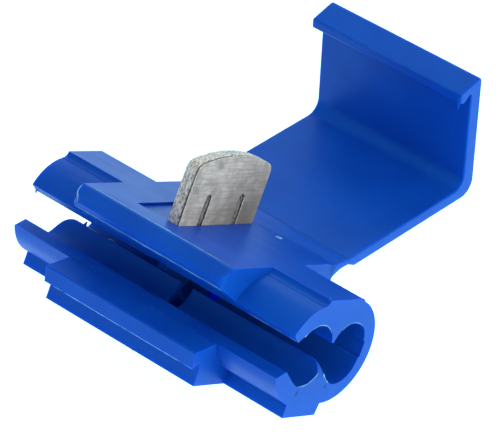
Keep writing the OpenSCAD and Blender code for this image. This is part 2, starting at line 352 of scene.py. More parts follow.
@dataclass(frozen=True)
class BlueNylon:
    """Semi-gloss blue nylon as moulded: fine orange peel, faint flow marks, milky depth."""

    name: str = "blue_nylon"
    deep: Triple = (0.0015, 0.048, 0.38)
    pale: Triple = (0.0025, 0.062, 0.44)
    # Painted shade for the marks' dents
    dent_shade: Triple = (0.0, 0.010, 0.16)
    rough: Pair = (0.36, 0.50)
    specular: float = 0.35
    sheen: Triple = (0.05, 0.6, 1.0)
    refraction: float = 1.46
    depth_mm: float = 1.1
    depth_share: float = 0.5
    depth_reach: Triple = (0.05, 0.12, 1.0)
    cloud: Grain = Grain(260, 4)
    cloud_span: Pair = (0.3, 0.7)
    flow: Grain = Grain(900, 3)
    flow_stretch: Triple = (0.25, 1, 1)
    sink: Grain = Grain(420, 2, height_mm=0.04, strength=0.35)
    peel: Grain = Grain(2600, 3, height_mm=0.012, strength=0.35)
    marks: tuple[Mark, ...] = ()

    def build(self, attitude: Attitude) -> Material:
        """Returns the material; attitude puts its marks in place."""
        n = Nodes(self.name)
        place = n.mapped((1, 1, 1))
        tint = n.ramp(n.noise(place, self.cloud), self.cloud_span, (self.deep, self.pale))
        streak = n.noise(n.mapped(self.flow_stretch), self.flow)
        rough = n.spread(streak, *self.rough)
        n.link(rough, "Result", n.shader, "Roughness")
        n.put("Subsurface Weight", self.depth_share)
        n.put("Subsurface Radius", self.depth_reach)
        n.put("Subsurface Scale", self.depth_mm * MM)
        n.put("IOR", self.refraction)
        n.put("Specular IOR Level", self.specular)
        n.put("Specular Tint", (*self.sheen, 1.0))
        relief = n.relief(n.noise(place, self.sink), self.sink)
        relief = n.relief(n.noise(place, self.peel), self.peel, relief)
        for mark in self.marks:
            point = np.array([mark.place])
            centre = attitude.place(attitude.opened(point) if mark.on_cover else point)[0]
            mask = n.ring(Vector(centre), mark.radius * MM, mark.width * MM)
            relief = n.bump(mask, "Result", -mark.depth * MM, 1.0, relief)
            # Painted shade in the mark's dent
            tint = n.faded(tint, mask, "Result", self.dent_shade, mark.dark)
        n.link(tint, "Color", n.shader, "Base Color")
        return n.done(relief)


@dataclass(frozen=True)
class PlatedFace:
    """Dull tin plating on rolled brass sheet: faint rolling grain and grey blotches."""

    name: str = "plated_face"
    dark: Triple = (0.245, 0.20, 0.198)
    light: Triple = (0.60, 0.485, 0.475)
    blotch: Grain = Grain(900, 6, 0.7, height_mm=0.02, strength=0.3)
    blotch_span: Pair = (0.28, 0.62)
    rolled: Grain = Grain(7000, 5, 0.65, height_mm=0.006, strength=0.5)
    rolled_stretch: Triple = (1, 0.06, 1)
    rolled_contrast: Pair = (-1.4, 2.2)
    rolled_share: float = 0.6
    # Painted shade: colour, centre, reach and share of a darker patch on the face
    painted_shade: Triple = (0.13, 0.103, 0.095)
    painted_shade_at: Triple = (0.2, 4.6, 9.0)
    painted_shade_mm: float = 5.5
    painted_shade_share: float = 0.8
    metallic: float = 0.35
    rough: Pair = (0.5, 0.68)

    def build(self, attitude: Attitude) -> Material:
        """Returns the material, its grain along the leaning blade, with painted shade round one
        place.
        """
        n = Nodes(self.name)
        blotch = n.noise(n.mapped((1, 1, 1)), self.blotch)
        tint = n.ramp(blotch, self.blotch_span, (self.dark, self.light))
        grain = n.noise(n.mapped(self.rolled_stretch, attitude.lean()), self.rolled)
        lines = n.spread(grain, *self.rolled_contrast)
        tint = n.faded(tint, lines, "Result", self.dark, self.rolled_share)
        # Painted shade: the face made darker round one place
        shade_middle = Vector(attitude.place(np.array([self.painted_shade_at]))[0])
        shade_patch = n.ring(shade_middle, 0, self.painted_shade_mm * MM)
        tint = n.faded(tint, shade_patch, "Result", self.painted_shade, self.painted_shade_share)
        n.link(tint, "Color", n.shader, "Base Color")
        n.put("Metallic", self.metallic)
        n.link(n.spread(grain, *self.rough), "Result", n.shader, "Roughness")
        return n.done(n.relief(blotch, self.blotch, n.relief(grain, self.rolled)))


@dataclass(frozen=True)
class ShearedEdge:
    """The blade's cut edge: torn grain, brownish grey, with painted shade darkening the breaks where
    the mesh is torn.
    """

    name: str = "sheared_edge"
    # Colour of the painted shade in the cracks and deepest grain
    dark: Triple = (0.035, 0.033, 0.030)
    mid: Triple = (0.27, 0.23, 0.225)
    light: Triple = (0.70, 0.60, 0.585)
    torn: Grain = Grain(7000, 6, 0.65, height_mm=0.03, strength=0.7)
    torn_stretch: Triple = (1.4, 1, 0.45)
    torn_span: Pair = (0.40, 0.56)
    metallic: float = 0.4
    rough: float = 0.55

    def build(self, attitude: Attitude) -> Material:
        """Returns the material, its grain along the leaning blade."""
        n = Nodes(self.name)
        torn = n.noise(n.mapped(self.torn_stretch, attitude.lean()), self.torn)
        tint = n.ramp(torn, self.torn_span, (self.mid, self.light))
        groove_shade = n.add("ShaderNodeAttribute", attribute_name="groove_shade")
        # Painted shade in the cracks and deepest grain
        tint = n.faded(tint, groove_shade, "Fac", self.dark, 1.0)
        n.link(tint, "Color", n.shader, "Base Color")
        n.put("Metallic", self.metallic)
        n.put("Roughness", self.rough)
        return n.done(n.relief(torn, self.torn))


@dataclass(frozen=True)
class PaleFloor:
    """Evenly glowing white table, as bright as the photograph's overexposed one."""

    name: str = "pale_floor"
    colour: Quad = (0.10, 0.10, 0.10, 1.0)
    tint: Quad = (0.55, 0.86, 1.0, 1.0)
    glow: float = 1.75
    rough: float = 0.9
    specular: float = 0.1

    def build(self) -> Material:
        """Returns the material."""
        n = Nodes(self.name)
        n.put("Base Color", self.colour)
        n.put("Emission Color", self.tint)
        n.put("Emission Strength", self.glow)
        n.put("Roughness", self.rough)
        n.put("Specular IOR Level", self.specular)
        return n.done()


def lattice(u: np.ndarray, v: np.ndarray, seed: int) -> np.ndarray:
    """Smooth value noise on a square lattice.

    Between lattice values a, b (along u) and c, d (one row on) the noise is
    mix(mix(a, b, f(u)), mix(c, d, f(u)), f(v)) with f(t) = t * t * (3 - 2 * t).

    Args:
        u: Coordinates along the first axis, in lattice cells.
        v: Coordinates along the second axis, of the same shape.
        seed: Which lattice to use.

    Returns:
        Values between 0 and 1 in the shape of u.
    """
    table = np.random.default_rng(seed).random((LATTICE_CELLS, LATTICE_CELLS))
    i, j = np.floor(u).astype(int), np.floor(v).astype(int)
    fu, fv = u - i, v - j
    fu, fv = fu * fu * (3 - 2 * fu), fv * fv * (3 - 2 * fv)
    left, right = i % LATTICE_CELLS, (i + 1) % LATTICE_CELLS
    near, far = j % LATTICE_CELLS, (j + 1) % LATTICE_CELLS
    a, b = table[left, near], table[right, near]
    c, d = table[left, far], table[right, far]
    return (a + (b - a) * fu) * (1 - fv) + (c + (d - c) * fu) * fv


def linked(name: str, data: bpy.types.ID) -> Object:
    """Makes an object from its data and links it to the scene."""
    made = bpy.data.objects.new(name, data)
    bpy.context.scene.collection.objects.link(made)
    return made


def packed_copy(node: str) -> bmesh.types.BMesh:
    """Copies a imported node's mesh in the part's frame, its loose triangles joined up."""
    source = frame["nodes"][node]
    work = bmesh.new()
    work.from_mesh(source.data)
    work.transform(source.matrix_world)
    bmesh.ops.remove_doubles(work, verts=work.verts, dist=MERGE_M)
    return work


def new_piece(name: str, points: np.ndarray, faces: Faces, finish: Material) -> Object:
    """Makes an object at the origin.

    Args:
        name: The piece's name.
        points: N by 3 lying points in metres.
        faces: Point numbers of each face, anticlockwise from outside.
        finish: Its material.

    Returns:
        The new object, linked to the scene.
    """
    mesh = bpy.data.meshes.new(name)
    mesh.from_pydata([tuple(p) for p in points], [], faces)
    mesh.materials.append(finish)
    return linked(name, mesh)


@dataclass
class LoopPrism:
    """A closed surface along X over a loop of the Y-Z plane, with its own inset per station.

    P(i, j) = (x(j), loop(i) - inset(j, i) * outward(i)), closed by flat triangles at each end.
    The loop is N by 2 and runs anticlockwise; the stations are the x values.
    """

    loop: np.ndarray
    stations: np.ndarray
    inset: np.ndarray
    tolerance: float = 1e-7

    @staticmethod
    def resampled(loop: np.ndarray, step: float) -> np.ndarray:
        """Splits a closed loop's sides into runs no longer than step, keeping its corners."""
        runs = []
        for start, end in zip(loop, np.roll(loop, -1, axis=0)):
            count = max(1, math.ceil(np.linalg.norm(end - start) / step))
            share = np.arange(count)[:, None] / count
            runs.append(start + (end - start) * share)
        return np.concatenate(runs)

    @staticmethod
    def outward(loop: np.ndarray) -> np.ndarray:
        """Returns the unit normals of a loop that runs anticlockwise."""
        along = np.roll(loop, -1, axis=0) - np.roll(loop, 1, axis=0)
        along /= np.linalg.norm(along, axis=1, keepdims=True)
        return np.stack([along[:, 1], -along[:, 0]], axis=1)

    def points(self) -> np.ndarray:
        """Returns the surface's points, station by station."""
        count = len(self.loop)
        rows = self.loop[None] - self.inset[..., None] * self.outward(self.loop)[None]
        x = np.repeat(self.stations, count)
        return np.column_stack([x, rows.reshape(-1, 2)])

    def faces(self) -> Faces:
        """Returns the side quads between stations, then the triangles of the two ends."""
        count, rows = len(self.loop), len(self.stations)
        i, j = np.meshgrid(np.arange(count), np.arange(rows - 1))
        k = (i + 1) % count
        low, high = j * count, (j + 1) * count
        quads = np.stack([low + i, low + k, high + k, high + i], axis=-1)
        sides = [tuple(q) for q in quads.reshape(-1, 4).tolist()]
        return sides + self.end_faces(0, True) + self.end_faces(rows - 1, False)

    def end_faces(self, row: int, reverse: bool) -> Faces:
        """Closes one end.

        Args:
            row: Number of the station.
            reverse: Whether the end faces -X.

        Returns:
            The end's triangles.
        """
        count = len(self.loop)
        flat = [Vector(p) for p in self.points()[row * count:(row + 1) * count, 1:]]
        inside_only = 1
        found = delaunay_2d_cdt(flat, [], [list(range(count))], inside_only, self.tolerance)
        spots, triangles, sources = found[0], found[2], found[3]
        origin = [group[0] + row * count for group in sources]
        closing = []
        for face in triangles:
            anticlockwise = self.area(np.array([spots[i] for i in face])) > 0
            turn = face[::-1] if anticlockwise == reverse else face
            closing.append(tuple(origin[i] for i in turn))
        return closing

    @staticmethod
    def area(loop: np.ndarray) -> float:
        """Returns a loop's signed area, positive if it runs anticlockwise."""
        y, z = loop[:, 0], loop[:, 1]
        return 0.5 * float(np.sum(y * np.roll(z, -1) - np.roll(y, -1) * z))


@dataclass(frozen=True)
class Strand:
    """A thin run of flash: a flattened tube along a path.

    Ring(i, k) = path(i) + width(i) / 2 * cos(a) * side + height(i) / 2 * sin(a) * up with
    a = 2 pi k / sides, closed by a point at each end. Widths and heights are given at even steps
    along the path; ragged is the share by which both vary, over cells of ragged_mm. The rings
    lie step apart or less, and there are at least the fewest.
    """

    path: tuple[Triple, ...]
    widths: tuple[float, ...]
    heights: tuple[float, ...]
    side: Triple = (0, 1, 0)
    ragged: float = 0.3
    seed: int = 1
    step: float = 0.12
    ragged_mm: float = 0.35
    fewest: int = 4

    def surface(self) -> tuple[np.ndarray, Faces]:
        """Returns the strand's points and faces."""
        path = np.array(self.path, float)
        lengths = np.concatenate([[0], np.cumsum(np.linalg.norm(np.diff(path, axis=0), axis=1))])
        count = max(self.fewest, math.ceil(lengths[-1] / self.step))
        s = np.linspace(0, lengths[-1], count)
        line = np.stack([np.interp(s, lengths, path[:, k]) for k in range(3)], axis=1)
        knots = np.linspace(0, lengths[-1], len(self.widths))
        wild = 1 + self.ragged * (2 * lattice(s / self.ragged_mm, np.zeros_like(s), self.seed) - 1)
        widths = np.interp(s, knots, self.widths) * wild
        heights = np.interp(s, knots, self.heights) * wild
        along = np.gradient(line, axis=0)
        along /= np.linalg.norm(along, axis=1, keepdims=True)
        side = np.array(self.side, float) - along * (along @ np.array(self.side, float))[:, None]
        side /= np.linalg.norm(side, axis=1, keepdims=True)
        up = np.cross(along, side)
        a = np.arange(TUBE_SIDES) * math.tau / TUBE_SIDES
        across, over = np.cos(a)[None, :, None], np.sin(a)[None, :, None]
        rings = (line[:, None] + (widths / 2)[:, None, None] * across * side[:, None]
                 + (heights / 2)[:, None, None] * over * up[:, None])
        points = np.concatenate([rings.reshape(-1, 3), line[:1], line[-1:]])
        i, k = np.meshgrid(np.arange(count - 1), np.arange(TUBE_SIDES), indexing="ij")
        m = (k + 1) % TUBE_SIDES
        low, high = i * TUBE_SIDES, (i + 1) * TUBE_SIDES
        quads = np.stack([low + k, low + m, high + m, high + k], axis=-1).reshape(-1, 4)
        faces = [tuple(q) for q in quads.tolist()]
        end = (count - 1) * TUBE_SIDES
        first_tip, last_tip = end + TUBE_SIDES, end + TUBE_SIDES + 1
        for this in range(TUBE_SIDES):
            after = (this + 1) % TUBE_SIDES
            faces.append((first_tip, after, this))
            faces.append((last_tip, end + this, end + after))
        return points, faces


def bore_rim(y: float, z: float, start: float, end: float, seed: int) -> Strand:
    """Thin flash along an arc of a channel's rim at the open end.

    P(a) = (x, y + radius cos a, z + radius sin a).

    Args:
        y: The arc's centre along Y.
        z: Its height.
        start: First angle in degrees, from +Y towards +Z.
        end: Last angle.
        seed: Seed of its raggedness.

    Returns:
        The strand.
    """
    x, radius, count, ragged = 11.955, 1.80, 13, 0.25
    angles = np.radians(np.linspace(start, end, count))
    path = tuple((x, y + radius * math.cos(a), z + radius * math.sin(a)) for a in angles)
    widths = (0.03, 0.06, 0.07, 0.06, 0.07, 0.03)
    heights = (0.06, 0.14, 0.12, 0.15, 0.12, 0.06)
    return Strand(path, widths, heights, (1, 0, 0), ragged, seed)


@dataclass
class EdgeRound:
    """Rounds the sharp edges of a moulded shape.

    Faces that turn by less than flat_deg are one face; edges sharper than angle_deg are rounded.
    """

    width_mm: float = 0.14
    segments: int = 3
    angle_deg: float = 28.0
    flat_deg: float = 0.6

    def dress(self, node: str, name: str) -> Object:
        """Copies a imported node, merges its loose triangles and rounds its edges.

        Args:
            node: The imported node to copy.
            name: The new piece's name.

        Returns:
            The new object, at the origin.
        """
        work = packed_copy(node)
        bmesh.ops.dissolve_limit(work, angle_limit=math.radians(self.flat_deg), verts=work.verts,
                                 edges=work.edges, use_dissolve_boundaries=False)
        mesh = bpy.data.meshes.new(name)
        work.to_mesh(mesh)
        work.free()
        mesh.shade_smooth()
        mesh.set_sharp_from_angle(angle=math.radians(self.angle_deg))
        piece = linked(name, mesh)
        bevel = piece.modifiers.new("edge_round", "BEVEL")
        bevel.width = self.width_mm * MM
        bevel.segments = self.segments
        bevel.limit_method = "ANGLE"
        bevel.angle_limit = math.radians(self.angle_deg)
        bevel.use_clamp_overlap = True
        bevel.harden_normals = True
        bevel.miter_outer = "MITER_ARC"
        return piece


@dataclass
class Moulding:
    """The one moulding: housing, thin hinge web and cover.

    The web's section is given by (y, z) points in millimetres: web_top and web_low from the
    housing outwards, and heel_top and heel_low at the cover, on the closed cover.
    """

    attitude: Attitude
    nylon: Material
    edges: EdgeRound = field(default_factory=EdgeRound)
    half_width: float = 6.8
    web_start: Pair = (7.4, 8.3)
    web_end: Pair = (8.64, 8.56)
    web_top: tuple[Pair, ...] = (
        (6.62, 8.4), (6.72, 8.432), (7.1, 8.42), (7.5, 8.5), (7.95, 8.62))
    web_low: tuple[Pair, ...] = ((7.22, 7.42), (7.35, 7.42), (7.7, 7.76), (8.1, 8.08))
    heel_top: tuple[Pair, ...] = ((6.6, 8.6), (6.45, 8.62))
    heel_low: tuple[Pair, ...] = ((6.6, 9.05), (6.45, 9.03))
    web_edge: float = 0.06
    web_crease_deg: float = 50.0

    def build_rigid(self) -> list[Object]:
        """Makes the housing and the cover, each riding on its body."""
        made = []
        for body in (Body.HOUSING, Body.COVER):
            piece = self.edges.dress(body.value, f"moulded_{body.value}")
            piece.data.materials.append(self.nylon)
            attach(piece, body.value)
            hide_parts(body.value)
            made.append(piece)
        return made

    @staticmethod
    def curve(knots: np.ndarray, per_run: int = 5) -> np.ndarray:
        """Returns a smooth line through the knots.

        Between knots b and c with neighbours a and d the point at t is
        ((2b) + (c - a)t + (2a - 5b + 4c - d)t^2 + (3b - a - 3c + d)t^3) / 2.
        """
        ends = np.concatenate([knots[:1], knots, knots[-1:]])
        t = (np.arange(per_run) / per_run)[:, None]
        runs = []
        for a, b, c, d in zip(ends, ends[1:], ends[2:], ends[3:]):
            square, cube = 2 * a - 5 * b + 4 * c - d, 3 * b - a - 3 * c + d
            runs.append((2 * b + (c - a) * t + square * t**2 + cube * t**3) / 2)
        return np.concatenate(runs + [knots[-1:]])

    def web_line(self, near: tuple[Pair, ...], far: tuple[Pair, ...]) -> np.ndarray:
        """Draws one long line of the web's section.

        Args:
            near: Points from the housing outwards; the first lies inside the housing.
            far: Points at the closed cover; the last lies inside the cover.

        Returns:
            The line's (y, z) points with the cover open.
        """
        heel = self.attitude.opened(np.array([[0, *p] for p in far]))[:, 1:]
        inner = self.curve(np.concatenate([np.array(near[1:]), heel[:1]]))
        return np.concatenate([[near[0]], inner, heel[1:]])

    def web_loop(self) -> np.ndarray:
        """Returns the web's section: its under line out to the cover, its top line back."""
        low = self.web_line(self.web_low, self.heel_low)
        top = self.web_line(self.web_top, self.heel_top)
        return np.concatenate([low, top[::-1]])

    def build_web(self) -> Object:
        """Makes the thin web between the housing and the open cover."""
        loop = self.web_loop()
        edge, far = self.web_edge, self.half_width
        stations = np.array([-far, -far + edge / 3, -far + edge, far - edge, far - edge / 3, far])
        rounding = np.array([edge, edge / 4, 0, 0, edge / 4, edge])
        inset = np.repeat(rounding[:, None], len(loop), axis=1)
        prism = LoopPrism(loop, stations, inset)
        points = self.attitude.place(prism.points())
        piece = new_piece("hinge_web", points, prism.faces(), self.nylon)
        piece.data.shade_smooth()
        piece.data.set_sharp_from_angle(angle=math.radians(self.web_crease_deg))
        ends = self.attitude.place(np.array([[0, *self.web_start], [0, *self.web_end]]))
        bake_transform(piece)
        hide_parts("living_hinge")
        return piece


@dataclass
class Flash:
    """Thin flash, nibs and loose flakes that the mould left on the edges."""

    attitude: Attitude
    # Paler nylon of the seams and rims: painted highlight along the edges
    pale: Material
    blue: Material
    nose_seam: Strand = Strand(
        ((-6.3, -4.17, 8.475), (0.6, -4.19, 8.475), (6.3, -4.21, 8.47)),
        (0.09, 0.13, 0.12, 0.14, 0.11, 0.09, 0.07),
        (0.10, 0.13, 0.12, 0.13, 0.11, 0.10, 0.09), seed=2)
    nose_end: Strand = Strand(
        ((-6.8, -4.25, 8.47), (-6.79, -4.55, 8.35), (-6.75, -4.78, 8.12),
         (-6.62, -4.98, 7.92), (-6.3, -5.18, 7.72), (-6.2, -5.2, 7.42)),
        (0.06, 0.08, 0.07, 0.09, 0.06, 0.05),
        (0.06, 0.07, 0.06, 0.07, 0.05, 0.04), (1, 0, 0), seed=4)
    nose_foot: Strand = Strand(
        ((-6.6, -4.67, 6.95), (6.7, -4.67, 6.95)),
        (0.05, 0.08, 0.06, 0.09, 0.05, 0.08, 0.06),
        (0.05, 0.07, 0.05, 0.08, 0.05, 0.07, 0.05), ragged=0.5, seed=18)
    ledge_seam: Strand = Strand(
        ((-6.7, -5.0, 1.32), (6.75, -5.0, 1.32)),
        (0.05, 0.08, 0.1, 0.07, 0.1, 0.08, 0.06),
        (0.05, 0.08, 0.07, 0.09, 0.06, 0.08, 0.05), seed=3)
    jaw_seam: Strand = Strand(
        ((6.9, -2.28, 5.68), (11.9, -2.28, 5.68)),
        (0.04, 0.06, 0.05, 0.07, 0.05),
        (0.04, 0.06, 0.05, 0.06, 0.05), ragged=0.5, seed=19)
    jaw_flake: Strand = Strand(
        ((-11.9, -2.28, 5.68), (-11.92, -2.24, 5.52), (-11.9, -2.15, 5.42)),
        (0.14, 0.2, 0.14, 0.04), (0.07, 0.07, 0.05, 0.02), (0, 0.4, 0.9), 0.25, 5)
    rib_nib: Strand = Strand(
        ((-10.1, 1.87, 3.5), (-10.05, 1.87, 3.85), (-9.95, 1.85, 4.05)),
        (0.32, 0.24, 0.1), (0.2, 0.16, 0.08), (1, 0, 0), 0.2, 6)
    rib_flake: Strand = Strand(
        ((-7.9, 1.86, 3.72), (-7.5, 1.82, 3.83), (-7.1, 1.8, 3.79)),
        (0.04, 0.12, 0.03), (0.02, 0.04, 0.02), (0, 1, 0.3), 0.3, 7)
    chin_burr: Strand = Strand(
        ((1.0, -4.12, 0.03), (1.3, -4.15, 0.0), (1.55, -4.12, 0.04)),
        (0.06, 0.16, 0.05), (0.05, 0.1, 0.04), (0, 1, 0), 0.2, 8)
    corner_burr: Strand = Strand(
        ((11.84, 3.62, 8.42), (11.86, 3.9, 8.36), (11.84, 4.2, 8.2)),
        (0.14, 0.16, 0.08), (0.1, 0.14, 0.08), (1, 0, 0), 0.3, 9)
    ridge_flake: Strand = Strand(
        ((11.86, -0.05, 8.35), (11.84, -0.1, 8.6), (11.86, -0.17, 8.76)),
        (0.3, 0.18, 0.03), (0.06, 0.04, 0.02), (0, 1, 0), 0.15, 10)
    barb_seam: Strand = Strand(
        ((-6.7, -4.45, 0.42), (6.7, -4.45, 0.4)),
        (0.03, 0.05, 0.09, 0.13, 0.15, 0.12, 0.1, 0.08, 0.05),
        (0.05, 0.06, 0.08, 0.1, 0.1, 0.08, 0.08, 0.06, 0.05), ragged=0.5, seed=11)
    wall_seam: Strand = Strand(
        ((-6.7, -5.585, 0.82), (6.6, -5.585, 0.82)),
        (0.05, 0.06, 0.03, 0.02, 0.03), (0.05, 0.05, 0.03, 0.02, 0.03), seed=12)
    barb_lip: Strand = Strand(
        ((6.66, -4.46, 0.55), (6.7, -4.36, 0.95), (6.73, -4.3, 1.3), (6.72, -4.33, 1.5)),
        (0.2, 0.24, 0.16, 0.05), (0.1, 0.08, 0.06, 0.03), (1, 0, 0), 0.3, 13)
    rims: tuple[Strand, ...] = (
        bore_rim(0, UPPER_BORE_Z, 148, 40, 14),
        bore_rim(TAP_Y, UPPER_BORE_Z, 150, 55, 15),
        bore_rim(0, LOWER_BORE_Z, 262, 330, 16),
        bore_rim(TAP_Y, LOWER_BORE_Z, 212, 250, 17),
    )

    def build(self) -> list[Object]:
        """Makes the pieces of flash, each of one body and finish."""
        seams = (self.nose_seam, self.nose_end, self.ledge_seam, self.nose_foot, self.jaw_seam,
                 self.rib_flake, *self.rims)
        flakes = (self.jaw_flake, self.rib_nib, self.chin_burr, self.corner_burr, self.ridge_flake)
        return [
            # Seams and rims in the paler nylon, a painted highlight
            self.piece("housing_seams_painted_highlight", Body.HOUSING, self.pale, seams),
            self.piece("housing_flakes", Body.HOUSING, self.blue, flakes),
            self.piece("cover_seams", Body.COVER, self.blue, (self.barb_seam, self.wall_seam)),
            self.piece("cover_lip", Body.COVER, self.blue, (self.barb_lip,)),
        ]

    def piece(self, name: str, body: Body, finish: Material, strands: tuple[Strand, ...]) -> Object:
        """Joins strands into one object.

        Args:
            name: The object's name.
            body: The body that it rides on; the cover's strands are given on the closed cover.
            finish: Its material.
            strands: Its runs of flash.

        Returns:
            The new object.
        """
        points, faces, total = [], [], 0
        for strand in strands:
            own, sides = strand.surface()
            points.append(self.attitude.opened(own) if body is Body.COVER else own)
            faces += [tuple(i + total for i in side) for side in sides]
            total += len(own)
        piece = new_piece(name, self.attitude.place(np.concatenate(points)), faces, finish)
        piece.data.shade_smooth()
        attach(piece, body.value)
        return piece


@dataclass
class GateMark:
    """The torn stub where the mould's gate fed the plate.

    h(r, a) = height * (1 - r^4) * (1 - rough + rough * noise(r, a)) - sink at the share r of the
    radius, and the rim's own radius varies by the share wobble.
    """

    attitude: Attitude
    finish: Material
    centre: Triple = (2.5, 6.15, 8.5)
    radius: float = 0.27
    height: float = 0.07
    rough: float = 0.45
    sink: float = 0.01
    foot: float = 0.05
    wobble: float = 0.12
    tip_share: float = 0.4
    tip_radius: float = 0.08
    cells_round: int = 8
    cells_across: int = 4
    seeds: tuple[int, int] = (21, 22)
    spokes: int = 24
    rings: int = 7

    def build(self) -> Object:
        """Makes the stub as a closed low dome, its rim sunk a little into the plate."""
        radii = np.linspace(1, self.tip_radius, self.rings)
        angles = np.arange(self.spokes) * math.tau / self.spokes
        r, a = np.meshgrid(radii, angles, indexing="ij")
        cells = a / math.tau * self.cells_round
        noise = lattice(cells, r * self.cells_across, self.seeds[0])
        rise = self.height * (1 - r**4) * (1 - self.rough + self.rough * noise) - self.sink
        wander = lattice(cells, np.zeros_like(r), self.seeds[1]) - 0.5
        edge = self.radius * r * (1 + self.wobble * wander)
        flat = np.stack([edge * np.cos(a), edge * np.sin(a), rise], axis=-1).reshape(-1, 3)
        foot = flat[: self.spokes] * (1, 1, 0) - (0, 0, self.foot)
        local = np.concatenate([foot, flat, [[0, 0, self.height * self.tip_share]]])
        faces = [tuple(range(self.spokes - 1, -1, -1))]
        for j in range(self.rings):
            for i in range(self.spokes):
                k = (i + 1) % self.spokes
                low, high = j * self.spokes, (j + 1) * self.spokes
                faces.append((low + i, low + k, high + k, high + i))
        tip, last = len(local) - 1, self.rings * self.spokes
        faces += [(last + i, last + (i + 1) % self.spokes, tip) for i in range(self.spokes)]
        points = self.attitude.place(local + np.array(self.centre))
        piece = new_piece("gate_mark", points, faces, self.finish)
        piece.data.shade_smooth()
        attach(piece, Body.HOUSING.value)
        return piece


@dataclass(frozen=True)
class Ripple:
    """Noise along the blade's cut edge.

    along counts its cells per millimetre of the outline and through those in the thickness.
    """

    seed: int
    along: float
    through: float = 0.0
    share: float = 1.0

    def scaled(self, s: np.ndarray, t: np.ndarray) -> np.ndarray:
        """Returns the noise between 0 and the share, at distances s and thickness shares t."""
        return self.share * lattice(s * self.along, t * self.through, self.seed)

    def swing(self, s: np.ndarray, t: np.ndarray) -> np.ndarray:
        """Returns the noise about 0, half the share to each side."""
        return self.share * (lattice(s * self.along, t * self.through, self.seed) - 0.5)


